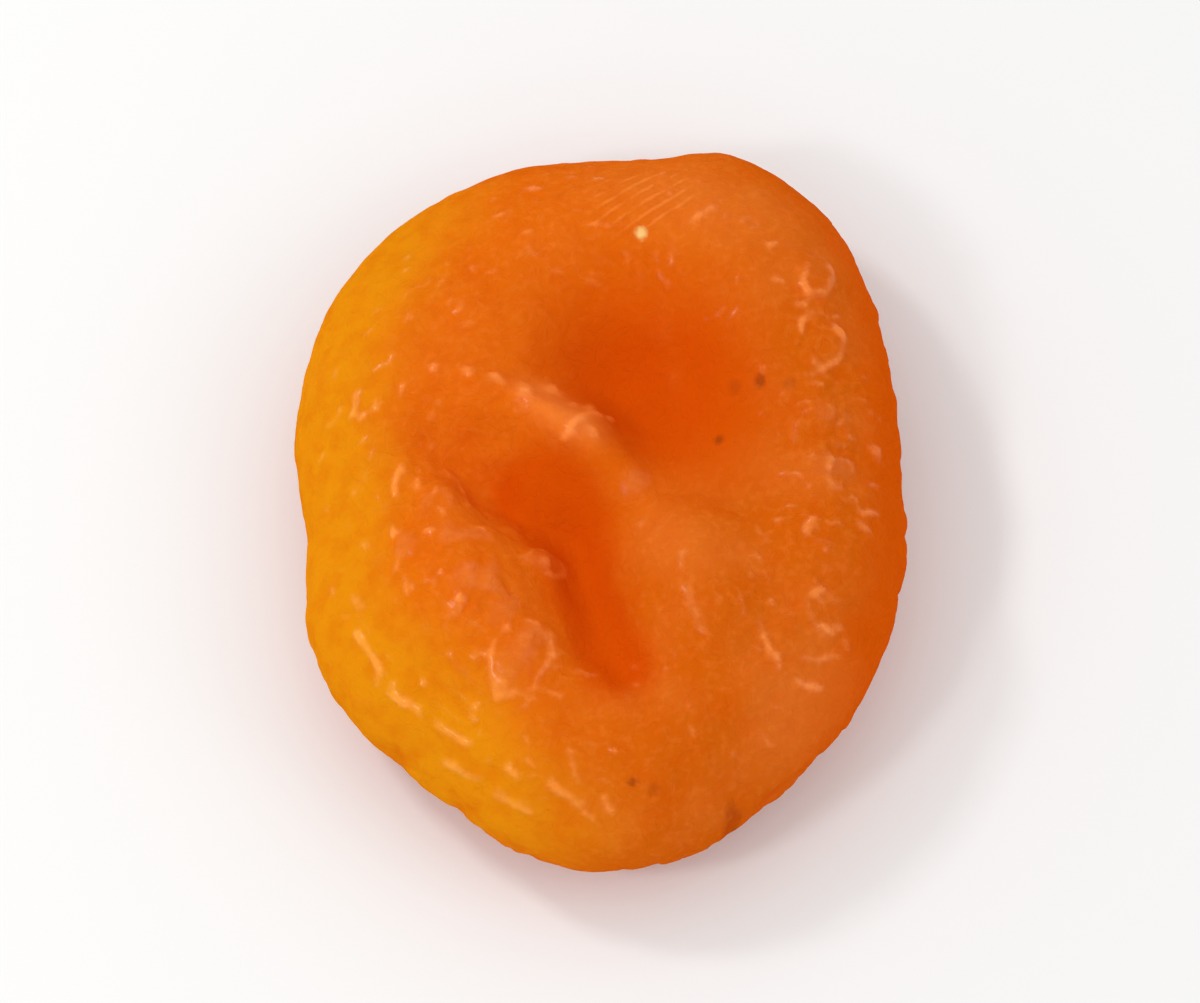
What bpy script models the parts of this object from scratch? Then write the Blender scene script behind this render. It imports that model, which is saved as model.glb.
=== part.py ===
"""A whole pitted apricot, dried until its middle fell in, lying on its flattened underside.

Run with: blender --background --python part.py

The fruit is one piece of flesh and skin. It starts as a ball of even square cells. The ball
is pressed into a thick-rimmed disc, and then hollows, swellings, creases and a side seam are
raised from it or sunk into it by formulas, each from its own few dimensions.

Lengths are millimetres, and the finished mesh is written in metres. +Z is up, +Y runs to the
far end of the fruit, and the origin is on the surface it rests on, under the middle of its
outline. Turns are in degrees from +X towards +Y.
"""

import math

import bmesh
import bpy
import numpy as np

MM = 0.001

# Cells along each side of the ball's six square patches, and how far they crowd to the top
CELLS = 31
CROWDING = 0.25

# Distance from the middle to the outline, every 22.5 degrees
OUTLINE = (16.3, 17.0, 19.8, 21.6, 20.2, 20.1, 19.3, 17.6,
           16.0, 16.9, 17.9, 19.0, 20.8, 19.6, 18.3, 16.7)

# The disc: how far it stands above and below its widest line, how much of that it gains to
# the right, and how square its rim is in section, where 2 is round
RISE = 7.2
RISE_TILT = 0.045
DROP = 5.4
SQUARENESS = 2.3
FLAT_SPOT_DEPTH = 0.22

# Round hollows (height below 0) and swellings of the upper side.
# Each is (middle x, middle y, half-length, half-width, turn, height)
SUNKEN_MIDDLE = (-0.4, -0.6, 16.0, 12.6, 92.0, -3.6)
FAR_HOLLOW = (2.4, 5.2, 7.6, 4.4, -26.0, -2.3)
FAR_SLOPE = (1.0, 8.6, 8.0, 5.6, -12.0, -1.0)
LEFT_HOLLOW = (-5.2, 0.2, 6.6, 3.7, -42.0, -1.6)
RIGHT_SWELLING = (4.6, -6.2, 5.8, 4.7, 100.0, 2.1)
LEFT_SWELLING = (-7.2, -6.4, 8.2, 5.8, 127.0, 2.1)
NEAR_SWELLING = (-4.8, -12.0, 5.4, 3.6, 150.0, 0.7)
NEAR_BLISTER = (-3.6, -10.2, 2.9, 2.2, 130.0, 0.35)
LEFT_BLISTER = (-8.4, -1.0, 1.9, 1.5, 100.0, 0.55)
FAR_RIGHT_BLISTER = (11.2, 11.0, 2.3, 1.6, 120.0, 0.45)
RIGHT_BLISTER = (12.0, 7.8, 2.6, 1.6, 100.0, 0.5)
RIGHT_RIDGE = (11.2, 1.6, 5.0, 2.4, 88.0, 0.4)
FAR_SHOULDER = (-8.0, 11.0, 7.0, 4.0, 40.0, 0.5)
ROUND_SHAPES = (SUNKEN_MIDDLE, FAR_HOLLOW, FAR_SLOPE, LEFT_HOLLOW, RIGHT_SWELLING,
                LEFT_SWELLING, NEAR_SWELLING, NEAR_BLISTER, LEFT_BLISTER, FAR_RIGHT_BLISTER,
                RIGHT_BLISTER, RIGHT_RIDGE, FAR_SHOULDER)
EDGE_SOFTNESS = 1.6

# Long folds of the upper side: the points that each runs through, how wide it is to the left
# and to the right of them, and its height
FOLDED_TONGUE = (((-11.0, 4.7), (-8.3, 4.6), (-6.0, 4.0), (-3.8, 3.3), (-1.8, 2.5), (-0.2, 1.3),
                  (1.8, -0.6), (4.4, -1.9)), 1.5, 2.3, 2.1)
NEAR_VALLEY = (((-8.8, 1.6), (-6.2, 0.2), (-4.0, -1.6), (-2.0, -3.2), (-1.2, -5.0), (-0.4, -8.0),
                (0.7, -11.0), (2.2, -13.6)), 1.8, 1.8, -1.5)
NEAR_CREASE = (((-4.8, -1.0), (-2.8, -2.5), (-1.4, -4.2), (-0.7, -6.4), (0.1, -9.0), (1.4, -11.8)),
               1.2, 1.2, -0.9)
NEAR_LEFT_FOLD = (((-14.0, -5.0), (-12.4, -9.2), (-9.6, -13.0), (-6.2, -15.6), (-1.6, -17.6)),
                  0.9, 1.2, 0.4)
UPPER_FOLDS = (FOLDED_TONGUE, NEAR_VALLEY, NEAR_CREASE, NEAR_LEFT_FOLD)

# Shallow folds of the underside, from the flat spot out to the rim
UNDER_FOLDS = ((((-4.0, -6.0), (-7.5, -10.5), (-10.0, -14.0)), 1.7, 1.4, 1.0),
               (((-7.5, -1.5), (-10.5, -3.0), (-14.5, -3.0)), 1.5, 1.3, 0.8),
               (((-6.0, 5.5), (-9.0, 8.5), (-12.5, 10.5)), 1.4, 1.6, 0.8),
               (((-3.0, 9.0), (-4.0, 13.0), (-6.5, 17.0)), 1.6, 1.4, 0.9),
               (((3.5, 9.0), (6.0, 12.5), (6.5, 17.5)), 1.4, 1.4, 0.8),
               (((6.5, 2.0), (10.5, 5.0), (14.5, 6.0)), 1.6, 1.6, 0.9),
               (((3.0, -8.0), (5.5, -12.0), (6.0, -17.0)), 1.5, 1.5, 0.9))
FOLD_FADE = 0.3

# The folds stop short of the widest line: heights on the ball where they start and are whole
FOLDS_FROM = 0.12
FOLDS_WHOLE = 0.42

# The seam where the flesh closed after the stone was pressed out, low on the near right wall
SEAM_START = -76.0
SEAM_END = 62.0
SEAM_FADE = 24.0
SEAM_HEIGHT = -0.3
SEAM_WAVE = 0.9
SEAM_WAVES = 3.1
SEAM_HALF_WIDTH = 0.9
SEAM_DEPTH = 0.8

# The stalk's scar, in the far wall
SCAR_TURN = 112.0
SCAR_HEIGHT = -0.6
SCAR_RADIUS = 1.7
SCAR_DEPTH = 1.1

# Soft unevenness everywhere but the flat spot, less in the outline than in the height
LUMP_HEIGHT = 0.4
LUMP_OUTLINE_SHARE = 0.5
LUMP_LENGTHS = (7.0, 15.0)
LUMP_SEED = 11
LUMP_WAVES = 28

# Puckers across the rim, strongest on its right side and coming and going round the rest
PUCKERS = 36
PUCKER_HEIGHT = 0.11
PUCKER_TURN = 2.0
PUCKER_SPREAD = 50.0
PUCKER_LEAN = 0.25
PUCKER_DRIFT = 3.8
DRIFT_LENGTHS = (12.0, 25.0)
DRIFT_SEED = 6
PATCH_LENGTHS = (9.0, 18.0)
PATCH_SEED = 7

FLESH_COLOUR = (0.74, 0.16, 0.01, 1.0)
FLESH_ROUGHNESS = 0.36


def clear_scene():
    for item in list(bpy.data.objects):
        bpy.data.objects.remove(item, do_unlink=True)


def smooth_step(low, high, value):
    share = np.clip((value - low) / (high - low), 0.0, 1.0)
    return share * share * (3.0 - 2.0 * share)


def through(points, place):
    """Points of a smooth curve at the given places, where place 0 is the second point."""
    first = np.clip(np.floor(place).astype(int), 0, len(points) - 4)
    share = (place - first)[:, None]
    a, b, c, d = (points[first + step] for step in range(4))
    return 0.5 * (2.0 * b + (c - a) * share + (2.0 * a - 5.0 * b + 4.0 * c - d) * share**2
                  + (3.0 * b - a - 3.0 * c + d) * share**3)


def outline_radius(angle):
    radii = np.array(OUTLINE)
    around = np.concatenate([radii[-1:], radii, radii[:2]])[:, None]
    place = (angle % math.tau) / math.tau * len(OUTLINE)
    return through(around, place)[:, 0]


def curve_points(points, each=24):
    ends = np.array(points)
    before, after = 2.0 * ends[0] - ends[1], 2.0 * ends[-1] - ends[-2]
    place = np.linspace(0.0, len(ends) - 1.0, each * (len(ends) - 1) + 1)
    return through(np.vstack([before, ends, after]), place)


def round_shape(x, y, shape):
    middle_x, middle_y, half_length, half_width, turn, height = shape
    cos, sin = math.cos(math.radians(turn)), math.sin(math.radians(turn))
    along = ((x - middle_x) * cos + (y - middle_y) * sin) / half_length
    across = ((y - middle_y) * cos - (x - middle_x) * sin) / half_width
    return height * np.clip(1.0 - along**2 - across**2, 0.0, 1.0) ** EDGE_SOFTNESS


def long_fold(x, y, fold):
    """A rounded ridge or valley along a curve, which fades out towards its ends."""
    points, left_width, right_width, height = fold
    line = curve_points(points)
    away = np.hypot(x[:, None] - line[:, 0], y[:, None] - line[:, 1])
    nearest = away.argmin(axis=1)
    onward = np.gradient(line, axis=0)[nearest]
    sideways = np.column_stack([x, y]) - line[nearest]
    on_left = onward[:, 0] * sideways[:, 1] > onward[:, 1] * sideways[:, 0]
    width = np.where(on_left, left_width, right_width)
    share = nearest / (len(line) - 1.0)
    fade = smooth_step(0.0, FOLD_FADE, share) * smooth_step(0.0, FOLD_FADE, 1.0 - share)
    return height * fade * np.exp(-((away.min(axis=1) / width) ** 2))


def chance_waves(points, lengths, seed):
    """Slow waves in chance directions, the same in every run, mostly between -1 and 1."""
    chance = np.random.default_rng(seed)
    total = np.zeros(len(points))
    for _ in range(LUMP_WAVES):
        direction = chance.normal(size=3)
        direction /= np.linalg.norm(direction)
        phase = chance.uniform(0.0, math.tau)
        total += np.cos(points @ direction * math.tau / chance.uniform(*lengths) + phase)
    return total / math.sqrt(LUMP_WAVES)


def ball(cells):
    """A ball of six square patches of even cells, finer at the top, where the folds are."""
    grid = bmesh.new()
    bmesh.ops.create_cube(grid, size=2.0)
    bmesh.ops.subdivide_edges(grid, edges=grid.edges[:], cuts=cells - 1, use_grid_fill=True)
    for vertex in grid.verts:
        for axis in range(3):
            vertex.co[axis] = math.tan(vertex.co[axis] * math.pi / 4.0)
        vertex.co.normalize()
        vertex.co.z += CROWDING
        vertex.co.normalize()
    mesh = bpy.data.meshes.new("dried_apricot")
    grid.to_mesh(mesh)
    grid.free()
    return mesh


def disc(direction):
    """The ball's directions as a thick disc with the fruit's outline, higher on its right."""
    across = np.hypot(direction[:, 0], direction[:, 1])
    up = direction[:, 2]
    angle = np.arctan2(direction[:, 1], direction[:, 0])
    size = (across**SQUARENESS + np.abs(up) ** SQUARENESS) ** (-1.0 / SQUARENESS)
    radius = outline_radius(angle) * across * size
    x, y = radius * np.cos(angle), radius * np.sin(angle)
    z = up * size * np.where(up > 0.0, RISE + RISE_TILT * x, DROP)
    return np.column_stack([x, y, z])


def sink_and_swell(points, direction):
    """Lets the middle fall in, and folds the skin round it and on the underside."""
    x, y = points[:, 0], points[:, 1]
    upper = smooth_step(FOLDS_FROM, FOLDS_WHOLE, direction[:, 2])
    lower = smooth_step(FOLDS_FROM, FOLDS_WHOLE, -direction[:, 2])
    for shape in ROUND_SHAPES:
        points[:, 2] += upper * round_shape(x, y, shape)
    for fold in UPPER_FOLDS:
        points[:, 2] += upper * long_fold(x, y, fold)
    for fold in UNDER_FOLDS:
        points[:, 2] += lower * long_fold(x, y, fold)


def lump(points, direction, away):
    over_flat = smooth_step(0.35, 0.6, np.where(direction[:, 2] < 0.0, away, 1.0))
    height = LUMP_HEIGHT * over_flat * chance_waves(points, LUMP_LENGTHS, LUMP_SEED)
    shares = (LUMP_OUTLINE_SHARE, LUMP_OUTLINE_SHARE, 1.0)
    points += direction * shares * height[:, None]


def pucker(points, direction, away):
    angle = np.arctan2(points[:, 1], points[:, 0])
    drift = PUCKER_DRIFT * chance_waves(points, DRIFT_LENGTHS, DRIFT_SEED)
    on_right = np.exp(-(((np.degrees(angle) - PUCKER_TURN) / PUCKER_SPREAD) ** 2))
    patches = smooth_step(0.3, 1.7, chance_waves(points, PATCH_LENGTHS, PATCH_SEED))
    height = np.maximum(on_right, patches) * smooth_step(0.5, 0.75, away) * PUCKER_HEIGHT
    height *= np.cos(PUCKERS * angle + drift + PUCKER_LEAN * points[:, 2])
    points += direction * height[:, None]


def draw_in_wall(points, direction, away):
    """Draws the wall in along the seam and at the stalk's scar."""
    turn = np.degrees(np.arctan2(points[:, 1], points[:, 0]))
    height = points[:, 2]
    seam_line = SEAM_HEIGHT + SEAM_WAVE * np.sin(np.radians(SEAM_WAVES * turn))
    fade = smooth_step(SEAM_START, SEAM_START + SEAM_FADE, turn)
    fade *= smooth_step(SEAM_END, SEAM_END - SEAM_FADE, turn)
    seam = SEAM_DEPTH * fade * np.exp(-(((height - seam_line) / SEAM_HALF_WIDTH) ** 2))
    along_wall = np.radians(turn - SCAR_TURN) * outline_radius(np.radians(turn))
    from_scar = np.hypot(along_wall, height - SCAR_HEIGHT) / SCAR_RADIUS
    scar = SCAR_DEPTH * np.exp(-(from_scar**2))
    on_wall = smooth_step(0.6, 0.85, away)
    points -= direction * (1.0, 1.0, 0.0) * ((seam + scar) * on_wall)[:, None]


def rest_on_flat_spot(points):
    """Flattens the lowest skin, and puts the origin under the middle of the outline."""
    lowest = points[:, 2].min() + FLAT_SPOT_DEPTH
    points[:, 2] = np.maximum(points[:, 2], lowest) - lowest
    points[:, :2] -= (points[:, :2].min(axis=0) + points[:, :2].max(axis=0)) / 2.0


def flesh_material():
    material = bpy.data.materials.new("apricot_flesh")
    material.use_nodes = True
    shader = material.node_tree.nodes["Principled BSDF"]
    shader.inputs["Base Color"].default_value = FLESH_COLOUR
    shader.inputs["Roughness"].default_value = FLESH_ROUGHNESS
    material.diffuse_color = FLESH_COLOUR
    return material


def dried_apricot():
    mesh = ball(CELLS)
    direction = np.empty(len(mesh.vertices) * 3)
    mesh.vertices.foreach_get("co", direction)
    direction = direction.reshape(-1, 3)
    away = np.hypot(direction[:, 0], direction[:, 1])
    points = disc(direction)
    sink_and_swell(points, direction)
    lump(points, direction, away)
    pucker(points, direction, away)
    draw_in_wall(points, direction, away)
    rest_on_flat_spot(points)
    mesh.vertices.foreach_set("co", (points * MM).ravel())
    mesh.update()
    mesh.shade_smooth()
    mesh.materials.append(flesh_material())
    fruit = bpy.data.objects.new("dried_apricot", mesh)
    split = fruit.modifiers.new("split_cells_along_folds", "TRIANGULATE")
    split.quad_method = "SHORTEST_DIAGONAL"
    return fruit


def main():
    clear_scene()
    apricot = bpy.data.collections.new("apricot")
    bpy.context.scene.collection.children.link(apricot)
    apricot.objects.link(dried_apricot())


main()
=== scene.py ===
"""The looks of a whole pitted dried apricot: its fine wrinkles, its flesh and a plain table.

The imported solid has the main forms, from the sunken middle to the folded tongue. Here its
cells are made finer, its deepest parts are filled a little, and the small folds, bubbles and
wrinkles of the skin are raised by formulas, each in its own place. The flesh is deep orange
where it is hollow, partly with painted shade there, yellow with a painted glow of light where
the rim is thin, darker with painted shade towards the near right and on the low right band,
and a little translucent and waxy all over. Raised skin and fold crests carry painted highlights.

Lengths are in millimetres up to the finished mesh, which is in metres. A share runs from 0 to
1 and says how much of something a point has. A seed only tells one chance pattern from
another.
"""

import math

import bmesh
import bpy
import numpy as np
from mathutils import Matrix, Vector, noise


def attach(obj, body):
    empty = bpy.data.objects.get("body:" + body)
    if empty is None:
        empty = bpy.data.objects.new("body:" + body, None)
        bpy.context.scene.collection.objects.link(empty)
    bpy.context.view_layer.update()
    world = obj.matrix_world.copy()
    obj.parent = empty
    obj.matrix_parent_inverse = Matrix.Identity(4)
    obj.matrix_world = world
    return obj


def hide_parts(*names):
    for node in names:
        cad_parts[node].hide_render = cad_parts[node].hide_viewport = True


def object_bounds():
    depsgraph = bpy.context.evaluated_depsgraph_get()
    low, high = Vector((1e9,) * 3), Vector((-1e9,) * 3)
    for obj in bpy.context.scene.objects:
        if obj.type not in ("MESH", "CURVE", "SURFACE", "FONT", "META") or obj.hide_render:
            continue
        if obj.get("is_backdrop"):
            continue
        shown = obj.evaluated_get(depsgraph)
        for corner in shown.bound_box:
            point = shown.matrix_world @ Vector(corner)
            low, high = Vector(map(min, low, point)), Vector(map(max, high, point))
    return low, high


MM = 0.001

# The skin's cells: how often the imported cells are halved, and how close points are one point
HALVINGS = 2
WELD = 1e-6

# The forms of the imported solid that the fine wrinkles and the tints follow.
# A line is a row of (x, y) places across the upper side.
# A patch is (middle x, middle y, half-length, half-width, turn in degrees)
TONGUE = (
    (-9.6, 5.2), (-7.4, 5.2), (-5.7, 4.7), (-4.0, 3.9),
    (-2.6, 3.4), (-0.9, 2.9), (0.7, 1.4), (1.8, -0.2),
)
CREASE = (
    (-3.6, -1.2), (-2.6, -2.6), (-1.7, -4.4), (-1.0, -6.5),
    (-0.1, -9.0), (1.3, -11.8), (2.6, -14.0),
)
LOBE = (-7.4, -5.6, 9.8, 5.2, 120.0)
RIGHT_BLISTERS = (11.6, 3.0, 9.5, 2.4, 92.0)
FAR_STRIATIONS = (2.2, 16.0, 5.6, 3.4, 8.0)
FAR_HOLLOW = (3.1, 5.5, 10.6, 8.4, -50.0)
LEFT_HOLLOW = (-2.2, -1.8, 5.8, 3.4, -46.0)

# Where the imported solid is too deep, or at the near crease's end not deep enough: a patch
# and the height that is added there
FILLINGS = (
    ((-2.0, 8.2, 7.4, 4.6, -22.0), 0.6),
    ((3.0, 5.6, 8.0, 5.4, -26.0), 0.6),
    ((5.6, 3.2, 5.0, 3.6, -50.0), 0.4),
    ((-0.6, 4.0, 3.8, 2.1, -38.0), 1.0),
    ((-2.0, 1.8, 3.8, 2.0, -42.0), 0.8),
    ((-3.9, 0.5, 4.4, 2.6, -42.0), 1.1),
    ((-4.2, -1.4, 4.6, 2.0, -46.0), 0.8),
    ((0.5, -6.6, 4.8, 2.6, -80.0), 0.6),
    ((-5.8, 1.6, 3.8, 2.4, -36.0), 0.8),
    ((1.7, -12.0, 3.4, 1.7, -62.0), -0.6),
)

# Thin raised folds, each a line
NEAR_LEFT_FOLDS = (
    ((-13.1, -6.4), (-12.5, -7.9)),
    ((-13.1, -8.6), (-12.4, -9.7), (-11.7, -10.8), (-11.5, -11.8)),
    ((-11.5, -11.7), (-10.3, -12.6), (-9.1, -13.4)),
    ((-8.8, -13.7), (-7.9, -14.5), (-6.5, -15.2)),
    ((-8.5, -15.3), (-7.0, -16.4), (-6.0, -16.9)),
    ((-5.9, -17.2), (-4.2, -18.2), (-3.3, -18.6)),
    ((-5.1, -16.2), (-4.1, -17.1)),
    ((-3.0, -16.9), (-1.3, -18.3), (0.2, -19.3)),
    ((-1.7, -15.4), (-1.4, -16.8), (-0.8, -17.8)),
    ((0.0, -17.9), (0.3, -18.4), (0.9, -18.8)),
)
RIGHT_FOLDS = (
    ((8.3, -8.7), (8.7, -9.9), (9.0, -10.8), (9.8, -10.5)),
    ((10.2, -10.5), (11.2, -10.7), (12.2, -10.2)),
    ((10.0, -11.5), (10.8, -12.0), (11.9, -11.9)),
    ((11.2, -8.8), (12.2, -9.1), (12.9, -8.4)),
    ((10.7, -7.3), (11.9, -7.0)),
    ((11.0, -4.4), (11.0, -3.6), (11.8, -2.9)),
    ((13.5, -2.8), (14.4, -3.7)),
    ((13.4, -2.4), (15.0, -2.1)),
    ((10.8, 10.9), (11.2, 9.8)),
    ((10.6, 8.8), (10.8, 7.1)),
    ((12.5, 8.4), (12.9, 7.3)),
    ((14.7, 2.1), (14.7, 0.9)),
)
FAR_FOLDS = (
    ((4.7, 14.0), (6.3, 15.5)),
    ((8.6, 12.7), (9.7, 13.0)),
    ((8.8, 10.7), (10.0, 10.6)),
    ((-3.7, 13.2), (-3.8, 12.4)),
    ((-7.1, 11.9), (-6.6, 11.5)),
)
LEFT_FOLDS = (
    ((-10.6, 0.6), (-10.9, -0.9), (-10.5, -1.9)),
    ((-9.7, 0.1), (-9.6, -1.7)),
    ((-11.0, 7.0), (-11.3, 5.6)),
    ((-13.1, 5.0), (-13.1, 3.8), (-12.5, 3.0)),
)
LOBE_DABS = (
    ((-7.3, -6.5), (-6.6, -6.3)),
    ((-6.4, -4.0), (-6.0, -3.3)),
    ((-3.4, -5.4), (-2.8, -4.8)),
    ((-4.2, -7.9), (-3.8, -7.6)),
    ((-7.5, -8.3), (-7.3, -7.9)),
    ((-8.5, -8.7), (-7.8, -9.2)),
    ((-10.3, -7.4), (-9.9, -7.0)),
    ((-11.0, -6.2), (-10.8, -5.4)),
    ((-10.0, -8.6), (-9.7, -8.0)),
    ((-8.0, -11.1), (-7.7, -10.5)),
    ((-6.8, -11.4), (-6.4, -10.7)),
    ((-9.5, -11.9), (-9.0, -11.7)),
    ((-7.4, -13.5), (-6.4, -14.0)),
    ((-10.8, -4.1), (-10.6, -3.3)),
    ((-9.3, -3.8), (-8.8, -4.3)),
    ((-8.5, -2.4), (-8.1, -3.2)),
    ((-4.6, -12.6), (-3.8, -12.9), (-3.0, -12.4)),
    ((-5.9, -10.6), (-5.3, -11.4)),
)
TONGUE_FOLDS = (
    ((-8.7, 6.1), (-8.7, 5.3)),
    ((-7.2, 5.9), (-6.8, 4.9)),
    ((-1.8, 3.9), (-1.1, 4.4)),
    ((0.7, 4.1), (0.2, 3.1)),
    ((0.1, 4.1), (-1.0, 2.8), (-1.9, 1.6)),
    ((-0.2, 4.7), (-1.0, 3.5)),
    ((-0.7, 2.3), (-0.1, 1.3)),
    ((-1.3, 2.0), (-2.2, 1.2)),
)
TONGUE_FACETS = (
    ((-5.7, 5.5), (-5.2, 4.6)),
    ((-3.8, 5.3), (-4.1, 3.8)),
    ((-2.5, 5.5), (-2.6, 4.6)),
)
MOUND_FOLDS = (
    ((4.4, -4.7), (4.3, -6.3), (4.5, -7.5), (5.0, -8.8), (5.6, -10.0)),
    ((2.3, -2.4), (1.7, -4.4)),
    ((3.2, -3.0), (2.6, -4.6)),
    ((8.1, -3.0), (8.6, -4.0), (8.5, -5.2)),
    ((4.6, -2.0), (4.7, -2.3)),
    ((4.9, -5.2), (4.9, -5.6)),
)

# Soft knobs of flesh, each a patch
KNOBS = (
    (-3.9, 3.9, 1.6, 0.8, 80.0),
    (-0.7, 2.6, 2.2, 1.5, 50.0),
    (1.9, -0.6, 1.5, 1.1, 60.0),
    (-6.8, -7.0, 1.7, 1.4, 30.0),
    (-2.8, -4.8, 1.5, 1.2, 30.0),
    (-6.2, -3.9, 1.5, 1.1, -40.0),
    (-4.2, -11.0, 2.6, 1.7, 60.0),
    (-4.9, -8.4, 1.8, 1.4, 50.0),
    (-7.9, -1.4, 2.0, 1.0, 100.0),
    (12.5, 0.0, 1.4, 1.2, 90.0),
)

# Rings of raised skin, each round a patch
RINGS = (
    (-7.9, -1.4, 1.7, 0.8, 100.0),
    (-4.2, -11.0, 2.1, 1.4, 62.0),
    (-2.9, -5.0, 1.0, 0.8, 0.0),
    (11.6, 11.0, 1.3, 0.65, 85.0),
    (11.7, 7.4, 1.5, 1.05, 92.0),
    (12.6, -0.3, 0.9, 0.7, 90.0),
)

# Patches where a pale sheen is painted on the skin
TONGUE_SHEEN = (-2.1, 3.3, 4.2, 2.1, -40.0)
RIM_SHEENS = (
    (6.0, 15.4, 10.5, 4.6, -20.0),
    (10.4, -13.6, 6.0, 3.4, 52.0),
    (4.4, -4.6, 4.6, 3.2, -20.0),
)

# Specks on the skin, as (x, y, radius)
DARK_SPECKS = ((6.3, 2.0, 0.26), (8.4, 5.0, 0.3), (1.6, -17.4, 0.22))
FAINT_SPECKS = ((7.1, 4.9, 0.4), (9.9, 4.6, 0.34), (2.7, -17.8, 0.34))
CREAM_SPECKS = ((2.2, 13.7, 0.32),)
BRUISES = ((7.0, -18.3, 0.55),)

# How far each kind of fold or ring reaches to the sides of its crest
RIM_FOLD_WIDTH = 0.23
TONGUE_FOLD_WIDTH = 0.28
TONGUE_FACET_WIDTH = 0.45
TONGUE_GLINT_WIDTH = 0.5
LOBE_DAB_WIDTH = 0.34
MOUND_FOLD_WIDTH = 0.35
STRAY_WIDTH = 0.19
RING_WIDTH = 0.28

# How high each kind of wrinkle stands, or how deep it is
FOLD_HEIGHT = 0.15
RING_HEIGHT = 0.095
STRAY_HEIGHT = 0.12
KNOB_HEIGHT = 0.17
RIM_RIDGE_HEIGHT = 0.1
RIGHT_WRINKLE_HEIGHT = 0.15
BUBBLE_HEIGHT = 0.24
RIB_HEIGHT = 0.1
BLISTER_HEIGHT = 0.18
LONG_CREASE_DEPTH = 0.1
SHORT_CREASE_DEPTH = 0.09
WALL_FOLD_HEIGHT = 0.13
SWELL_HEIGHT = 0.13
PEBBLE_HEIGHT = 0.05

# A fold fades out over a share of its length at each end, up to a longest taper, and starts a
# little before its line does
TAPER_SHARE = 0.4
LONGEST_TAPER = 0.7
FOLD_OVERRUN = 0.1

# The distance to a line is measured only this close to it, in steps of this size along it, and
# elsewhere it counts as far away
LINE_REACH = 4.0
LINE_STEP = 0.15
FAR_AWAY = 99.0

# Short stray wrinkles over the upper side. Each range is (least, most), and reach is a share
# of the way from the middle to the outline
STRAY_COUNT = 280
STRAY_SEED = 7
STRAY_REACH = (0.55, 0.93)
STRAY_HALF_LENGTH = (0.2, 0.65)
STRAY_STRENGTH = (0.3, 0.8)
STRAY_SLANT = 0.35
OUTLINE_HALVES = (16.2, 20.2)

# Turns round the outline, in degrees from +X towards +Y
NEAR_LEFT = 238.0
LEFT = 190.0
WRINKLED_RIGHT = -14.0
SHADED_RIGHT = 4.0

# The level direction across the ribs of the tongue
ACROSS_RIBS = (0.69, -0.73)


def rise(value, none, full):
    """A share: 0 where the value is at none or beyond, 1 from full on, and smooth between."""
    share = np.clip((value - none) / (full - none), 0.0, 1.0)
    return share * share * (3.0 - 2.0 * share)


def raised_to(least, share):
    """The share, squeezed so that it runs from least to 1."""
    return least + (1.0 - least) * share


def mottle(points, size, seed):
    """Smooth chance values, mostly between -0.6 and 0.6, whose patches are about size across."""
    return np.array([noise.noise(Vector(place)) for place in points / size + seed])


def warped(points, size, reach, seeds=(1.3, 2.7, 3.9)):
    """The points, each carried off by up to reach, so that patterns laid on them wander."""
    return points + reach * np.column_stack([mottle(points, size, seed) for seed in seeds])


def cells(points, size, seed):
    """For cells about size across: how far each point is from its cell's middle and its wall."""
    nearest = np.array([noise.voronoi(Vector(place))[0][:2] for place in points / size + seed])
    return nearest[:, 0], nearest[:, 1] - nearest[:, 0]


def ridges(phase, sharpness, level):
    """Waves with narrow crests, one for each full turn of the phase, over that level."""
    return (0.5 + 0.5 * np.cos(phase)) ** sharpness - level


def creases(points, size, seed):
    """Winding creases about size apart: 1 in a crease, falling to 0 beside it."""
    return rise(np.abs(mottle(points, size, seed)), none=0.26, full=0.0)


def crest(away, half_width):
    """A rounded crest: 1 on its line, falling to nearly 0 at twice the half-width."""
    return np.exp(-((away / half_width) ** 2))


def turn_from(angle, middle):
    """How far each angle, in radians, is from a turn in degrees, in degrees."""
    return np.abs((np.degrees(angle) - middle + 180.0) % 360.0 - 180.0)


def towards(turn):
    """The level direction at a turn in radians."""
    return np.array([math.cos(turn), math.sin(turn)])


def within(flat, patch):
    """How far flat places are from the middle of a patch: 0 there and 1 at its edge."""
    middle_x, middle_y, half_length, half_width, turn = patch
    cos, sin = towards(math.radians(turn))
    away_x, away_y = (flat - (middle_x, middle_y)).T
    along = (away_x * cos + away_y * sin) / half_length
    across = (away_y * cos - away_x * sin) / half_width
    return np.hypot(along, across)


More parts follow.
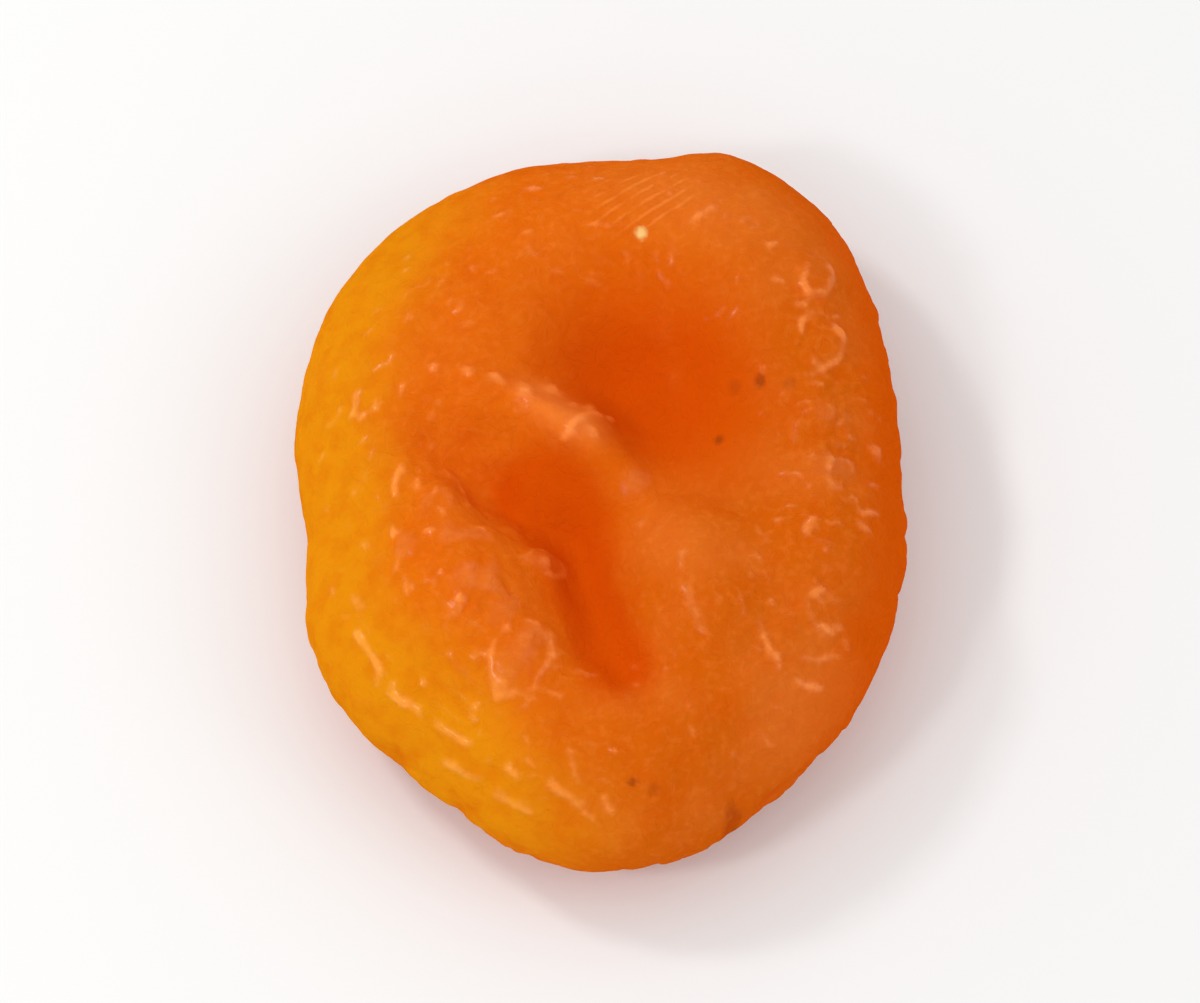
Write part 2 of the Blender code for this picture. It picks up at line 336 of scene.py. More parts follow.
class Skin:
    """The points of the fine skin, in millimetres, and where each lies on the fruit."""

    def __init__(self, points, normals):
        self.points = points
        self.x, self.y, self.z = points.T
        self.flat = points[:, :2]
        self.wandering = warped(points, size=1.5, reach=0.22)[:, :2]
        self.angle = np.arctan2(self.y, self.x)
        radius = np.hypot(self.x, self.y)
        self.inset = self.outline(radius) - radius
        self.facing_up = normals[:, 2]
        self.upper = rise(self.facing_up, none=0.0, full=0.5)
        self.under = rise(-self.facing_up, none=0.0, full=0.5)

    def outline(self, radius, steps=120):
        """The radius of the fruit's outline in each point's direction."""
        step = ((self.angle % math.tau) / math.tau * steps).astype(int) % steps
        widest = np.zeros(steps)
        np.maximum.at(widest, step, radius)
        middles = (np.arange(steps) + 0.5) * math.tau / steps
        return np.interp(self.angle % math.tau, middles, widest, period=math.tau)

    def patch(self, place, softness=0.45):
        """1 inside a patch of the upper side, falling to 0 at its edge over a share of the way."""
        return self.upper * rise(within(self.flat, place), none=1.0, full=1.0 - softness)

    def patches(self, places):
        """The sum of patches that fall off all the way from their middles."""
        return sum(self.patch(place, softness=1.0) for place in places)

    def sector(self, middle, spread):
        """1 at one side of the fruit, falling to 0 at spread degrees either way."""
        return rise(turn_from(self.angle, middle), none=spread, full=spread * 0.5)

    def beside(self, line, flat):
        """The distance from flat places to a line, how far along it that is, and its length."""
        corners = np.array(line)
        lengths = np.concatenate([[0.0], np.cumsum(np.hypot(*np.diff(corners, axis=0).T))])
        places = np.append(np.arange(0.0, lengths[-1], LINE_STEP), lengths[-1])
        dots = np.column_stack([np.interp(places, lengths, corners[:, axis]) for axis in range(2)])
        low, high = dots.min(axis=0) - LINE_REACH, dots.max(axis=0) + LINE_REACH
        near = np.logical_and(flat > low, flat < high).all(axis=1)
        gaps = np.linalg.norm(flat[near, None] - dots, axis=2)
        away, along = np.full(len(flat), FAR_AWAY), np.zeros(len(flat))
        away[near] = gaps.min(axis=1)
        along[near] = places[gaps.argmin(axis=1)]
        return away, along, lengths[-1]

    def fold(self, line, half_width):
        """1 along the crest of a thin fold, falling to 0 at its sides and at its ends."""
        away, along, length = self.beside(line, self.wandering)
        taper = min(LONGEST_TAPER, TAPER_SHARE * length)
        start = rise(along, none=-FOLD_OVERRUN, full=taper)
        end = rise(along, none=length + FOLD_OVERRUN, full=length - taper)
        return self.upper * (start * end) * crest(away, half_width)

    def folds(self, lines, half_width):
        """The sum of several folds."""
        return sum(self.fold(line, half_width) for line in lines)

    def ring(self, place, half_width):
        """1 along a ring of skin on the upper side, falling to 0 inside it and outside."""
        radius = math.sqrt(place[2] * place[3])
        away = (within(self.wandering, place) - 1.0) * radius
        return self.upper * crest(away, half_width)


def specks(skin, places, lowest_facing=-0.2):
    """1 on each speck, falling to 0 at its edge, down to where the wall faces the table."""
    away = [np.hypot(*(skin.wandering - (x, y)).T) / radius for x, y, radius in places]
    return rise(np.minimum.reduce(away), none=1.25, full=0.6) * (skin.facing_up > lowest_facing)


def uneven(skin, seed):
    """How strong a wrinkle is from place to place, from 0.3 to 1."""
    return raised_to(0.3, rise(mottle(skin.points, size=1.3, seed=seed), none=-0.3, full=0.4))


def thin_folds(skin):
    """The single thin folds, each in its place: on the rim, the tongue, the lobe and the mound."""
    facet_share, lobe_share, mound_share, highest = 0.9, 0.9, 0.6, 1.2
    strength = uneven(skin, seed=7.7)
    rim = skin.folds(NEAR_LEFT_FOLDS + FAR_FOLDS + RIGHT_FOLDS + LEFT_FOLDS, RIM_FOLD_WIDTH)
    tongue = skin.folds(TONGUE_FOLDS, TONGUE_FOLD_WIDTH)
    facets = facet_share * skin.folds(TONGUE_FACETS, TONGUE_FACET_WIDTH)
    lobe = lobe_share * skin.folds(LOBE_DABS, LOBE_DAB_WIDTH)
    mound = mound_share * skin.folds(MOUND_FOLDS, MOUND_FOLD_WIDTH)
    total = rim * raised_to(0.4, strength) + (lobe + mound) * strength + tongue + facets
    return np.minimum(total, highest)


def stray_wrinkles(skin):
    """Many short wrinkles: along the rim on the left and across it on the right."""
    draw = np.random.default_rng(STRAY_SEED)
    total = np.zeros(len(skin.x))
    for _ in range(STRAY_COUNT):
        turn = draw.uniform(0.0, math.tau)
        middle = draw.uniform(*STRAY_REACH) * (OUTLINE_HALVES * towards(turn))
        across = rise(math.cos(turn), none=-0.2, full=0.6)
        heading = turn + math.pi / 2.0 * (1.0 - across) + draw.normal(0.0, STRAY_SLANT)
        half = draw.uniform(*STRAY_HALF_LENGTH) * towards(heading)
        strength = draw.uniform(*STRAY_STRENGTH)
        total += strength * skin.fold((middle - half, middle + half), STRAY_WIDTH)
    return np.minimum(total, 1.0)


def skin_rings(skin):
    """The rims of the larger bubbles of skin, broken here and there."""
    unbroken = rise(mottle(skin.points, size=1.1, seed=5.5), none=-0.4, full=0.1)
    return unbroken * sum(skin.ring(place, RING_WIDTH) for place in RINGS)


def knobs(skin):
    """The soft knobs along the folded tongue and the larger bubbles on the lobe."""
    return KNOB_HEIGHT * skin.patches(KNOBS)


def rim_ridges(skin):
    """Long low ridges that follow the near left edge, broken into short lengths."""
    spacing, bending = 0.9, 3.0
    phase = math.tau * skin.inset / spacing + bending * mottle(skin.points, size=8.0, seed=3.1)
    comes_and_goes = rise(mottle(skin.points, size=3.4, seed=8.7), none=-0.1, full=0.35)
    band = rise(skin.inset, none=0.6, full=1.8) * rise(skin.inset, none=8.5, full=6.0)
    place = skin.sector(NEAR_LEFT, spread=62.0) * band * comes_and_goes * skin.upper
    return RIM_RIDGE_HEIGHT * place * ridges(phase, sharpness=2.0, level=0.35)


def right_wrinkles(skin):
    """Short close wrinkles across the right side of the rim."""
    wrinkles_a_radian, bending = 60.0, 5.5
    phase = wrinkles_a_radian * skin.angle + bending * mottle(skin.points, size=3.6, seed=1.3)
    comes_and_goes = rise(mottle(skin.points, size=2.2, seed=5.2), none=-0.1, full=0.3)
    band = rise(skin.inset, none=1.0, full=2.6) * rise(skin.inset, none=8.0, full=5.4)
    place = skin.sector(WRINKLED_RIGHT, spread=62.0) * band * comes_and_goes * skin.upper
    strength = RIGHT_WRINKLE_HEIGHT * uneven(skin, seed=2.4)
    return strength * place * ridges(phase, sharpness=1.6, level=0.4)


def lobe_bubbles(skin):
    """Soft bubbles of skin, packed side by side, over the left lobe."""
    stretch, roundness, level = (1.0, 0.75, 0.7), 0.4, 0.4
    middle, wall = cells(warped(skin.points, size=2.4, reach=0.9) * stretch, size=1.9, seed=4.4)
    bubble = rise(wall, none=-0.1, full=0.6) * (1.0 - roundness * middle**2)
    return BUBBLE_HEIGHT * skin.patch(LOBE) * uneven(skin, seed=9.2) * (bubble - level)


def tongue_ribs(skin):
    """Fine slanting ribs over the crest of the folded tongue and down its near face."""
    spacing, bending = 0.85, 2.2
    away, along, length = skin.beside(TONGUE, skin.flat)
    turns = skin.flat @ ACROSS_RIBS / spacing
    phase = math.tau * turns + bending * mottle(skin.points, size=1.9, seed=6.1)
    ends = rise(along, none=0.5, full=3.0) * rise(along, none=length, full=length - 3.0)
    place = skin.upper * ends * rise(away, none=2.2, full=0.8)
    return RIB_HEIGHT * place * uneven(skin, seed=6.6) * ridges(phase, sharpness=1.5, level=0.4)


def right_blisters(skin):
    """Rounded blisters, longer than wide, in a row on the far right of the rim."""
    stretch, roundness, level = (1.0, 0.66, 0.6), 0.5, 0.35
    middle, wall = cells(warped(skin.points, size=2.2, reach=0.9) * stretch, size=1.6, seed=9.3)
    blister = rise(wall, none=0.0, full=0.6) * (1.0 - roundness * middle)
    return BLISTER_HEIGHT * skin.patch(RIGHT_BLISTERS, softness=0.6) * (blister - level)


def skin_net(skin):
    """A net of winding creases: faint on the upper side, deeper on the wall and the underside."""
    stretch, kept_on_top = (1.0, 1.0, 0.8), 0.2
    wandering = warped(skin.points, size=3.0, reach=1.0)
    long_creases = LONG_CREASE_DEPTH * creases(wandering * stretch, size=3.2, seed=2.2)
    short_creases = SHORT_CREASE_DEPTH * creases(wandering, size=1.5, seed=6.2)
    patchy = rise(mottle(skin.points, size=5.5, seed=4.1), none=-0.3, full=0.3)
    strength = raised_to(kept_on_top, 1.0 - skin.upper) * raised_to(0.35, patchy)
    return -strength * (long_creases + short_creases)


def wall_folds(skin):
    """Uneven upright folds down the side, as the skin gathers towards the underside."""
    folds_a_radian, bending, slant, kept_under = 40.0, 7.0, 0.4, 0.4
    underside = raised_to(kept_under, 1.0 - skin.under)
    on_wall = (1.0 - skin.upper) * underside * rise(skin.z, none=5.2, full=2.6)
    bends = bending * mottle(skin.points, size=5.5, seed=1.9)
    phase = folds_a_radian * skin.angle + bends + slant * skin.z
    comes_and_goes = rise(mottle(skin.points, size=5.0, seed=3.6), none=-0.2, full=0.4)
    return WALL_FOLD_HEIGHT * on_wall * comes_and_goes * ridges(phase, sharpness=1.2, level=0.5)


def uneven_skin(skin):
    """Soft swells and pebbling all over."""
    swells = SWELL_HEIGHT * mottle(skin.points, size=2.6, seed=7.1)
    return swells + PEBBLE_HEIGHT * mottle(skin.points, size=0.9, seed=4.7)


def clear_of_table(skin):
    """0 on the flat spot and 1 where the underside has left the table."""
    return rise(skin.z, none=0.02, full=0.5)


def placed_wrinkles(skin):
    """Every wrinkle of the upper side that belongs to one part of it."""
    makers = (rim_ridges, right_wrinkles, lobe_bubbles, tongue_ribs, right_blisters, knobs)
    return sum(maker(skin) for maker in makers)


def overall_relief(skin):
    """What lies over the whole fruit: the net of creases, the wall's folds and the pebbling."""
    return clear_of_table(skin) * (skin_net(skin) + wall_folds(skin) + uneven_skin(skin))


def raised_folds(skin):
    """The thin folds, the rings and the stray wrinkles, whose crests are glossy and painted pale
    as glints.
    """
    strays = STRAY_HEIGHT * stray_wrinkles(skin)
    return FOLD_HEIGHT * thin_folds(skin) + RING_HEIGHT * skin_rings(skin) + strays


def fillings(skin):
    """How far the bottom of the near crease and parts of the hollows are raised."""
    away, along, length = skin.beside(CREASE, skin.flat)
    fades = rise(along, none=length - 2.5, full=length - 7.0)
    crease = skin.upper * rise(away, none=2.8, full=0.0) * fades
    return crease + sum(height * skin.patch(place, softness=1.0) for place, height in FILLINGS)


def hollow_and_shade_share(skin):
    """1 in the two hollows and along the crease: deep orange flesh, partly painted shade."""
    in_crease = 0.9
    away, along, length = skin.beside(CREASE, skin.flat)
    fades = rise(along, none=length, full=length - 3.5)
    crease = skin.upper * rise(away, none=3.0, full=0.4) * fades
    far = skin.patch(FAR_HOLLOW, softness=1.0)
    left = skin.patch(LEFT_HOLLOW, softness=0.8)
    return 1.0 - (1.0 - far) * (1.0 - left) * (1.0 - in_crease * crease)


def rim_glow_share(skin):
    """Where painted light glows yellow through the thin flesh at the left and near rim."""
    edge = rise(skin.inset, none=8.6, full=0.5)
    return skin.sector(LEFT, spread=98.0) * edge * rise(skin.z, none=1.0, full=6.5)


def shaded_share(skin):
    """Painted shade on the band low on the right side, where the flesh is thick, and the lower
    wall.
    """
    on_lower_wall = 0.8
    right = skin.sector(SHADED_RIGHT, spread=74.0) * rise(skin.inset, none=3.6, full=0.4)
    return np.maximum(right, on_lower_wall * rise(skin.z, none=4.6, full=1.6))


def right_shade_share(skin):
    """How far painted shade darkens the flesh to amber, from the far left to the near right."""
    slant = 0.25
    return rise(skin.x - slant * skin.y, none=-5.0, full=10.0)


def glossy_share(skin, hollow_and_shade, wrinkles, folds):
    """Where the skin is glossy: on the wrinkles of the upper side, and hardly in the hollows."""
    on_wrinkles, lost_in_hollows = 0.6, 0.6
    crests = on_wrinkles * rise(wrinkles, none=0.02, full=0.12) + rise(folds, none=0.02, full=0.1)
    return np.minimum(crests, 1.0) * skin.upper * (1.0 - lost_in_hollows * hollow_and_shade)


def sheen_share(skin):
    """Where a pale sheen is painted: on the folded tongue, most on its facets as glints, and on
    the rim.
    """
    on_tongue, on_facets, on_rim = 1.2, 1.3, 0.55
    tongue = on_tongue * skin.patch(TONGUE_SHEEN, softness=0.8)
    facets = on_facets * skin.folds(TONGUE_FACETS, TONGUE_GLINT_WIDTH)
    return tongue + facets + on_rim * skin.patches(RIM_SHEENS)


def speck_share(skin):
    """The dark specks, and fainter ones beside them."""
    faintness = 0.4
    return np.maximum(specks(skin, DARK_SPECKS), faintness * specks(skin, FAINT_SPECKS))


def skin_marks(skin, relief, wrinkles, folds):
    """What the flesh's material reads from the skin, point by point."""
    hollow_and_shade = hollow_and_shade_share(skin)
    return {
        "relief": relief,
        # fold crests, where glints are painted
        "crest": folds,
        # deep orange of the hollows, partly painted shade
        "hollow_and_shade": hollow_and_shade,
        # painted glow of light through the thin rim
        "rim_glow": rim_glow_share(skin),
        # painted shade on the low right band and the lower wall
        "shaded": shaded_share(skin),
        "glossy": glossy_share(skin, hollow_and_shade, wrinkles, folds),
        # painted sheen and glints on the tongue and the rim
        "sheen": sheen_share(skin),
        # painted shade towards the near right
        "right_shade": right_shade_share(skin),
        "bruise": specks(skin, BRUISES) * rise(skin.z, none=2.6, full=4.4),
        "striated": skin.patch(FAR_STRIATIONS, softness=0.9) * uneven(skin, seed=3.3),
        "speck": speck_share(skin),
        "cream": specks(skin, CREAM_SPECKS),
    }


def skin_cage(node):
    """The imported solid's cells as quads again, as a cage for the fine skin."""
    cage = bmesh.new()
    cage.from_mesh(node.data)
    bmesh.ops.remove_doubles(cage, verts=cage.verts[:], dist=WELD)
    bmesh.ops.join_triangles(
        cage, faces=cage.faces[:], angle_face_threshold=math.pi, angle_shape_threshold=math.pi
    )
    mesh = bpy.data.meshes.new("skin_cage")
    cage.to_mesh(mesh)
    cage.free()
    mesh.attributes.remove(mesh.attributes["custom_normal"])
    return mesh


def halved(mesh, halvings):
    """The mesh with its cells halved that often and rounded."""
    coarse = bpy.data.objects.new("skin_cage", mesh)
    bpy.context.scene.collection.objects.link(coarse)
    rounding = coarse.modifiers.new("halve_cells", "SUBSURF")
    rounding.levels = halvings
    graph = bpy.context.evaluated_depsgraph_get()
    fine = bpy.data.meshes.new_from_object(coarse.evaluated_get(graph))
    bpy.data.objects.remove(coarse)
    bpy.data.meshes.remove(mesh)
    return fine


def read_vectors(items, name):
    """A vector of every item of a mesh, as rows."""
    values = np.empty(len(items) * 3)
    items.foreach_get(name, values)
    return values.reshape(-1, 3)


def store(mesh, name, values):
    """Keeps a value of every point with the mesh."""
    layer = mesh.attributes.new(name, "FLOAT", "POINT")
    layer.data.foreach_set("value", values.astype(np.float32))


def apricot_skin(node):
    """The fine skin, wrinkles raised, its hollow, thin and shaded parts marked for painted light.
    """
    mesh = halved(skin_cage(node), HALVINGS)
    mesh.name = "apricot_skin"
    points = read_vectors(mesh.vertices, "co") / MM
    normals = read_vectors(mesh.vertex_normals, "vector")
    skin = Skin(points, normals)
    folds = raised_folds(skin)
    wrinkles = placed_wrinkles(skin)
    relief = overall_relief(skin) + wrinkles + folds
    raised = points + normals * relief[:, None]
    raised[:, 2] = np.maximum(raised[:, 2] + fillings(skin), 0.0)
    mesh.vertices.foreach_set("co", (raised * MM).ravel())
    for name, values in skin_marks(skin, relief, wrinkles, folds).items():
        store(mesh, name, values)
    mesh.update()
    mesh.shade_smooth()
    piece = bpy.data.objects.new("apricot_skin", mesh)
    bpy.context.scene.collection.objects.link(piece)
    return piece


class Tone:
    """A shader socket on a bench, so that Python's operators add Math nodes."""

    def __init__(self, bench, socket):
        self.bench = bench
        self.socket = socket

    def __add__(self, other):
        return self.bench.maths("ADD", self, other)

    def __sub__(self, other):
        return self.bench.maths("SUBTRACT", self, other)

    def __rsub__(self, other):
        return self.bench.maths("SUBTRACT", other, self)

    def __mul__(self, other):
        return self.bench.maths("MULTIPLY", self, other)

    def __abs__(self):
        return self.bench.maths("ABSOLUTE", self)

    def sine(self):
        return self.bench.maths("SINE", self)

    __radd__ = __add__
    __rmul__ = __mul__


class Bench:
    """A material being mixed: it adds nodes and joins them up."""

    def __init__(self, name):
        self.material = bpy.data.materials.new(name)
        self.material.use_nodes = True
        self.tree = self.material.node_tree
        self.shader = self.tree.nodes["Principled BSDF"]

    def plug(self, socket, value):
        """Links a tone to a socket, or sets a plain value there."""
        if isinstance(value, Tone):
            self.tree.links.new(value.socket, socket)
        else:
            socket.default_value = value

    def finish(self, sockets):
        """Plugs the shader's own sockets by name."""
        for name, value in sockets.items():
            self.plug(self.shader.inputs[name], value)

    def node(self, kind, settings=None, sockets=None, out=""):
        """Adds a node with its settings, then its sockets by name, identifier or number."""
        added = self.tree.nodes.new(kind)
        for name, value in (settings or {}).items():
            setattr(added, name, value)
        named = {socket.name: socket for socket in reversed(added.inputs)}
        named.update({socket.identifier: socket for socket in added.inputs})
        named.update(enumerate(added.inputs))
        for name, value in (sockets or {}).items():
            self.plug(named[name], value)
        results = {socket.name: socket for socket in added.outputs}
        results.update({socket.identifier: socket for socket in added.outputs})
        return Tone(self, results[out] if out else added.outputs[0])

    def maths(self, operation, a, b=0.0):
        """A Math node on two values, or on the first alone."""
        return self.node("ShaderNodeMath", {"operation": operation}, {0: a, 1: b})

    def mark(self, name):
        """A value that the skin's mesh carries."""
        return self.node("ShaderNodeAttribute", {"attribute_name": name}, out="Fac")

    def blend(self, share, first, second, way="MIX"):
        """The first colour where the share is 0 and the second where it is 1."""
        settings = {"data_type": "RGBA", "blend_type": way}
        sockets = {"Factor_Float": share, "A_Color": first, "B_Color": second}
        return self.node("ShaderNodeMix", settings, sockets, out="Result_Color")

    def tinted(self, colour, layers):
        """The colour under layers of tint, each as (where it lies, how strong it is, its tint)."""
        for where, strength, tint in layers:
            colour = self.blend(where * strength, colour, tint)
        return colour

    def rise(self, value, none, full):
        """A share: 0 where the value is at none or beyond, 1 from full on, smooth between."""
        sockets = {"Value": value, "From Min": none, "From Max": full}
        return self.node("ShaderNodeMapRange", {"interpolation_type": "SMOOTHSTEP"}, sockets)

    def grain(self, place, size, detail, distortion=0.0):
        """Noise about 0, mostly between -0.2 and 0.2, with patches of that size in millimetres."""
        scale = 1.0 / (size * MM)
        sockets = {"Vector": place, "Scale": scale, "Detail": detail, "Distortion": distortion}
        return self.node("ShaderNodeTexNoise", {}, sockets, out="Fac") - 0.5

    def reach(self, place, direction):
        """How far each place lies in a direction."""
        sockets = {0: place, 1: direction}
        return self.node("ShaderNodeVectorMath", {"operation": "DOT_PRODUCT"}, sockets, "Value")


# The tints of the flesh, its marks and the table
ORANGE = (0.74, 0.135, 0.004, 1.0)
# Painted shade: the darker amber that the flesh turns towards the near right
SHADE_AMBER = (0.61, 0.106, 0.003, 1.0)
# Deep orange: random deep patches, and also painted shade in the hollows and the wrinkles
DEEP_ORANGE = (0.64, 0.076, 0.001, 1.0)
# Painted light: the yellow glow of light through the thin left and near rim
GLOW_YELLOW = (0.77, 0.26, 0.004, 1.0)
# Painted shade on the low right band and the lower wall
SHADED = (0.68, 0.085, 0.001, 1.0)
# Pale: tone of the clouds, grain and striations, and painted sheen on raised skin and sheen
# patches
PALE = (0.96, 0.27, 0.05, 1.0)
# Painted glints, added on the crests of the thin folds
PAINTED_GLINT = (0.2, 0.1, 0.022, 1.0)
BROWN = (0.25, 0.035, 0.004, 1.0)
RUST = (0.3, 0.022, 0.002, 1.0)
CREAM = (0.95, 0.62, 0.22, 1.0)
TABLE_WHITE = (0.9, 0.9, 0.895, 1.0)
LIGHT_WHITE = (1.0, 1.0, 1.0, 1.0)

# The striations of the far rim: their spacing, how much they bend, and the level direction
# across them
STRIATION_SPACING = 0.62
STRIATION_BENDING = 5.0
ACROSS_STRIATIONS = (0.6, -0.8, 0.0)

# Light scatters in the flesh: how far it goes, how far red, green and blue go as shares of
# that, and how much of the look it makes up
SCATTER_LENGTH = 1.5
SCATTER_COLOURS = (1.0, 0.32, 0.06)
SCATTER_WEIGHT = 0.4

# The surface: the flesh is dull, and the crests have a thin gloss over it
FLESH_ROUGHNESS = 0.5
GLOSS_WEIGHT = 0.42
GLOSS_ROUGHNESS = 0.22
BUMP_STRENGTH = 0.7
BUMP_HEIGHT = 0.1


def striations(bench, place, cloudy):
    """Straight close waves, from -1 to 1, on the far rim."""
    across = bench.reach(place, ACROSS_STRIATIONS)
    phase = across * (math.tau / (STRIATION_SPACING * MM)) + cloudy * STRIATION_BENDING
    return bench.mark("striated") * phase.sine()


def body_colour(bench, place, cloudy, fine):
    """Orange flesh with soft clouds, turned amber by painted shade towards the near right, yellow
    with a painted glow where the rim is thin, deep orange where hollow, partly painted shade,
    and painted shade on the low right band and lower wall.
    """
    ragged_glow, ragged_hollow = 0.4, 0.3
    right_shade = bench.mark("right_shade")
    rim_glow = bench.mark("rim_glow") + cloudy * ragged_glow
    hollow_and_shade = bench.mark("hollow_and_shade") + cloudy * ragged_hollow
    patchy = bench.grain(place, size=1.3, detail=2.0)
    clouds = bench.rise(cloudy, none=-0.1, full=0.2)
    return bench.tinted(ORANGE, (
        # painted shade: amber towards the near right
        (right_shade, 0.9 + cloudy * 0.5, SHADE_AMBER),
        (clouds, 0.04 + right_shade * 0.12, PALE),
        (bench.rise(fine, none=-0.05, full=0.2), 0.12, PALE),
        # painted glow of light through the thin rim
        (bench.rise(rim_glow, none=0.0, full=0.9), 1.0, GLOW_YELLOW),
        (bench.rise(patchy, none=-0.1, full=0.2), 0.22, DEEP_ORANGE),
        # the hollows' deep orange, partly the flesh's own tone and partly painted shade
        (bench.rise(hollow_and_shade, none=-0.1, full=0.8), 1.0, DEEP_ORANGE),
        # painted shade on the low right band and the lower wall
        (bench.mark("shaded"), 0.8, SHADED),
    ))


def flesh_colour(bench, place, cloudy, fine):
    """The colour of the flesh, paler with painted sheen on what is raised and deeper with painted
    shade in the wrinkles, with painted glints and sheen, and specks.
    """
    glint_strength = 0.85
    relief = bench.mark("relief") + fine * 0.1
    streaks = striations(bench, place, cloudy) + fine * 0.8
    # painted glints on the crests of the thin folds
    crests = bench.rise(bench.mark("crest") + fine * 0.1, none=0.02, full=0.18)
    colour = bench.tinted(body_colour(bench, place, cloudy, fine), (
        # painted sheen on raised skin
        (bench.rise(relief, none=0.02, full=0.3), 0.17, PALE),
        (bench.rise(streaks, none=0.1, full=0.9), 0.4, PALE),
    ))
    colour = bench.blend(crests * glint_strength, colour, PAINTED_GLINT, "ADD")
    return bench.tinted(colour, (
        # painted shade in the wrinkles
        (bench.rise(relief, none=-0.02, full=-0.2), 0.3, DEEP_ORANGE),
        # painted sheen and glints on the tongue, its facets and the rim
        (bench.mark("sheen"), 0.35, PALE),
        (bench.mark("speck"), 0.6, BROWN),
        (bench.mark("bruise"), 0.4 + fine, RUST),
        (bench.mark("cream"), 0.85, CREAM),
    ))


def flesh_bump(bench, place, cloudy, fine):
    """Fine pebbling with short winding creases in it, and straight striations on the far rim."""
    veins = bench.grain(place, size=0.9, detail=1.0, distortion=0.5)
    between_veins = bench.rise(abs(veins), none=0.0, full=0.05)
    height = fine * 0.8 + between_veins * 0.22 + striations(bench, place, cloudy) * 0.5
    sockets = {"Strength": BUMP_STRENGTH, "Distance": BUMP_HEIGHT * MM, "Height": height}
    return bench.node("ShaderNodeBump", {}, sockets)


def apricot_flesh():
    """Waxy, translucent flesh under a thin skin whose crests are glossy."""
    bench = Bench("apricot_flesh")
    bench.shader.subsurface_method = "BURLEY"
    place = bench.node("ShaderNodeTexCoord", out="Object")
    cloudy = bench.grain(place, size=4.0, detail=3.0)
    fine = bench.grain(place, size=0.45, detail=3.0)
    bench.finish({
        "Base Color": flesh_colour(bench, place, cloudy, fine),
        "Roughness": FLESH_ROUGHNESS + fine * 0.25 + cloudy * 0.15,
        "Coat Weight": bench.mark("glossy") * (GLOSS_WEIGHT + fine * 0.6),
        "Normal": flesh_bump(bench, place, cloudy, fine),
        "Coat Roughness": GLOSS_ROUGHNESS,
        "Specular IOR Level": 0.0,
        "Subsurface Weight": SCATTER_WEIGHT,
        "Subsurface Radius": SCATTER_COLOURS,
        "Subsurface Scale": SCATTER_LENGTH * MM,
    })
    return bench.material


def table_finish():
    """Smooth white board."""
    bench = Bench("table")
    bench.finish({"Base Color": TABLE_WHITE, "Roughness": 0.7, "Specular IOR Level": 0.2})
    return bench.material


# The studio, in metres: the table, and the places and widths of the lights
TABLE_HALF_WIDTH = 1.5
LIGHT_AIM = (0.0, 0.0, 0.006)
NEAR_LEFT_LIGHT = (-0.158, -0.111, 0.23)
FAR_LEFT_LIGHT = (-0.167, 0.096, 0.23)
RIGHT_LIGHT = (0.2, -0.06, 0.2)
LEFT_LIGHT_WIDTH = 0.045
RIGHT_LIGHT_WIDTH = 0.12
SKY_STRENGTH = 0.8

# The camera looks down at the fruit from its near end, as in the photograph. The fruit fills a
# share of the frame's height, and a share of its thickness adds to its height in the picture
ELEVATION = 66.0
LENS = 320.0
NEAREST_SEEN = 0.01
FRAME_SHAPE = 1200.0 / 1003.0
FRUIT_SHARE = 0.74
THICKNESS_SHARE = 0.4


def table_top():
    """The plain table that the fruit lies on."""
    mesh = bpy.data.meshes.new("table")
    grid = bmesh.new()
    bmesh.ops.create_grid(grid, x_segments=1, y_segments=1, size=TABLE_HALF_WIDTH)
    grid.to_mesh(mesh)
    grid.free()
    mesh.materials.append(table_finish())
    table = bpy.data.objects.new("table", mesh)
    bpy.context.scene.collection.objects.link(table)
    table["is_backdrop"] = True


def soft_light(name, place, width, power):
    """A square studio light that faces the fruit."""
    lamp = bpy.data.lights.new(name, "AREA")
    lamp.size = width
    lamp.energy = power
    holder = bpy.data.objects.new(name, lamp)
    bpy.context.scene.collection.objects.link(holder)
    holder.location = place
    facing = Vector(LIGHT_AIM) - holder.location
    holder.rotation_euler = facing.to_track_quat("-Z", "Y").to_euler()


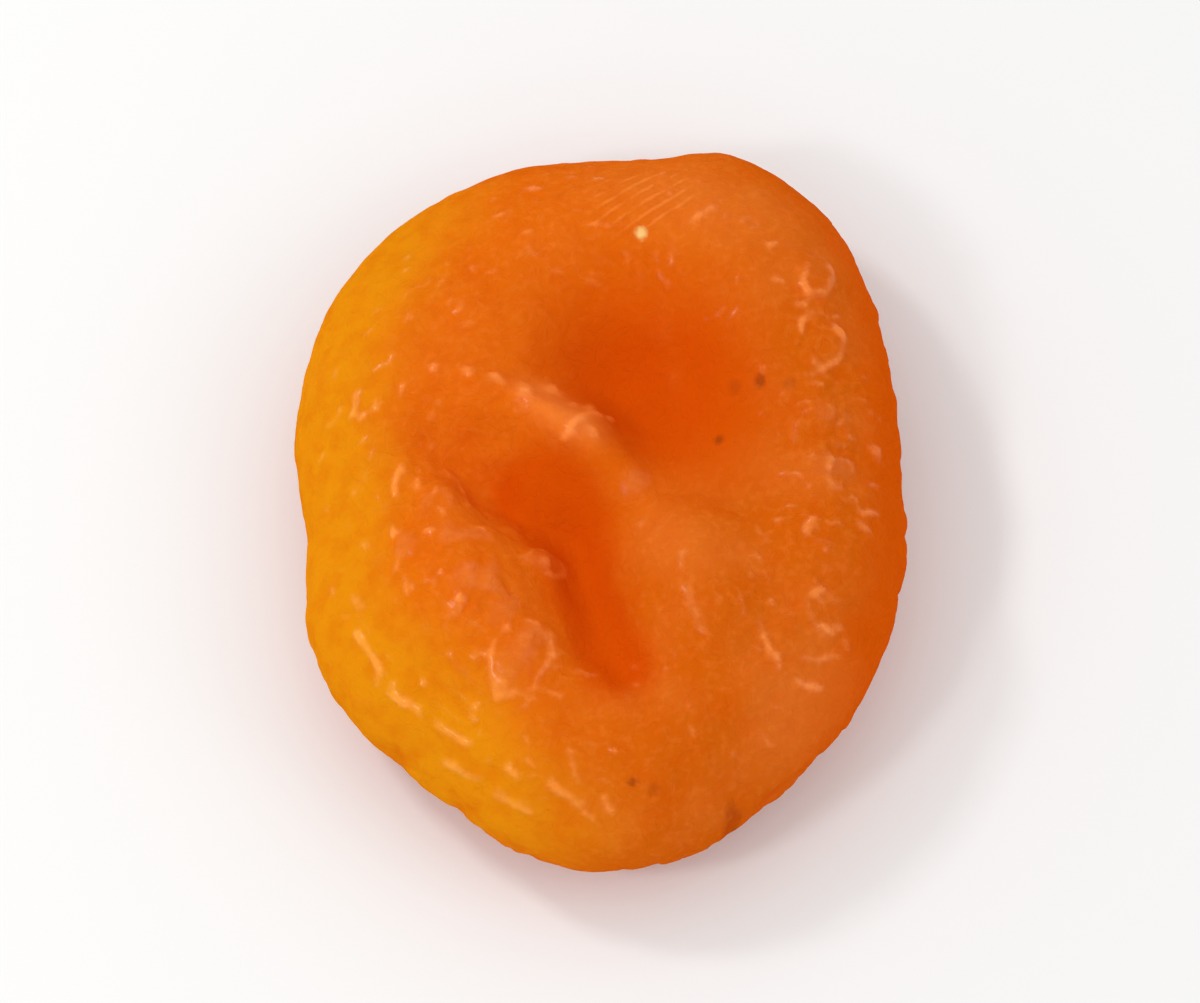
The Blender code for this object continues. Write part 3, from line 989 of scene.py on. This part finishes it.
def studio():
    """Even light from all round, two soft lights on the left and a faint one on the right."""
    world = bpy.data.worlds.new("studio")
    bpy.context.scene.world = world
    world.use_nodes = True
    sky = world.node_tree.nodes["Background"].inputs
    sky["Color"].default_value = LIGHT_WHITE
    sky["Strength"].default_value = SKY_STRENGTH
    soft_light("key_from_near_left", NEAR_LEFT_LIGHT, LEFT_LIGHT_WIDTH, power=0.12)
    soft_light("light_from_far_left", FAR_LEFT_LIGHT, LEFT_LIGHT_WIDTH, power=0.155)
    soft_light("faint_light_from_right", RIGHT_LIGHT, RIGHT_LIGHT_WIDTH, power=0.05)
    bpy.context.scene.view_settings.view_transform = "Standard"


def camera():
    """A long lens, far enough off that the fruit has its share of the frame."""
    low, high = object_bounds()
    middle, size = (low + high) / 2.0, high - low
    elevation = math.radians(ELEVATION)
    back = Vector((0.0, -math.cos(elevation), math.sin(elevation)))
    lens = bpy.data.cameras.new("camera")
    lens.lens = LENS
    lens.clip_start = NEAREST_SEEN
    tall = size.y * math.sin(elevation) + THICKNESS_SHARE * size.z * math.cos(elevation)
    frame_height = lens.sensor_width / FRAME_SHAPE
    holder = bpy.data.objects.new("camera", lens)
    bpy.context.scene.collection.objects.link(holder)
    holder.location = middle + back * (LENS * tall / FRUIT_SHARE / frame_height)
    holder.rotation_euler = (-back).to_track_quat("-Z", "Y").to_euler()
    bpy.context.scene.camera = holder


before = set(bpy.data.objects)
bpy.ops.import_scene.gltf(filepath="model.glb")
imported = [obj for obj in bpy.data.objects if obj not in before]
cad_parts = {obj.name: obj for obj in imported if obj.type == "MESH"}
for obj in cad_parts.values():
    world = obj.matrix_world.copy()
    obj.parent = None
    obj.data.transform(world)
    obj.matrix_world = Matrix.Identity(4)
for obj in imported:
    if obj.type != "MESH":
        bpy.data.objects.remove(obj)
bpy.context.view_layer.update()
fruit = apricot_skin(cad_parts["dried_apricot"])
fruit.data.materials.clear()
fruit.data.materials.append(apricot_flesh())
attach(fruit, "root")
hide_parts("dried_apricot")
table_top()
studio()
camera()
